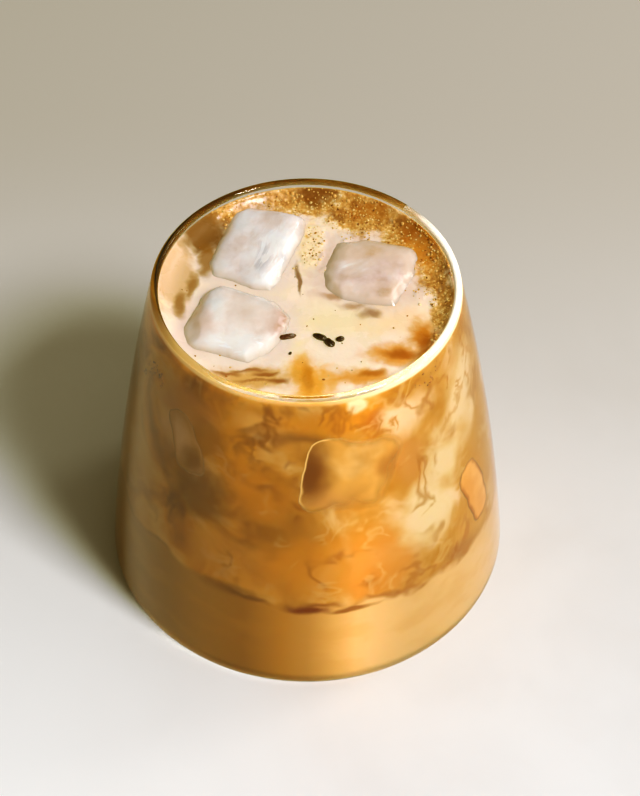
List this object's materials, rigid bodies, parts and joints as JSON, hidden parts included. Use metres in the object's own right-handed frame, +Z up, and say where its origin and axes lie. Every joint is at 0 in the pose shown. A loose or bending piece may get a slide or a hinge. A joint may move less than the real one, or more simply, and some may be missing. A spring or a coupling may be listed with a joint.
{
  "type": "iced masala chai",
  "caption": "Iced masala chai in a clear stemless tumbler that narrows to its rim, filled almost to the top, with ice cubes floating in it.",
  "frame": {"origin": "centre of the foot, on the surface the glass stands on", "axes": "+Z up along the axis of the glass, -Y towards the viewer, +X to the viewer's right"},
  "size_m": [0.0894, 0.0894, 0.082],
  "materials": {
    "glass": "clear, fire-polished",
    "chai": "wet, opaque milky tea",
    "ice": "cloudy ice, melted edges"
  },
  "bodies": {
    "root": {"tumbler": "glass", "chai": "chai", "ice_back_left": "ice", "ice_front_left": "ice", "ice_right": "ice"}
  },
  "joints": []
}
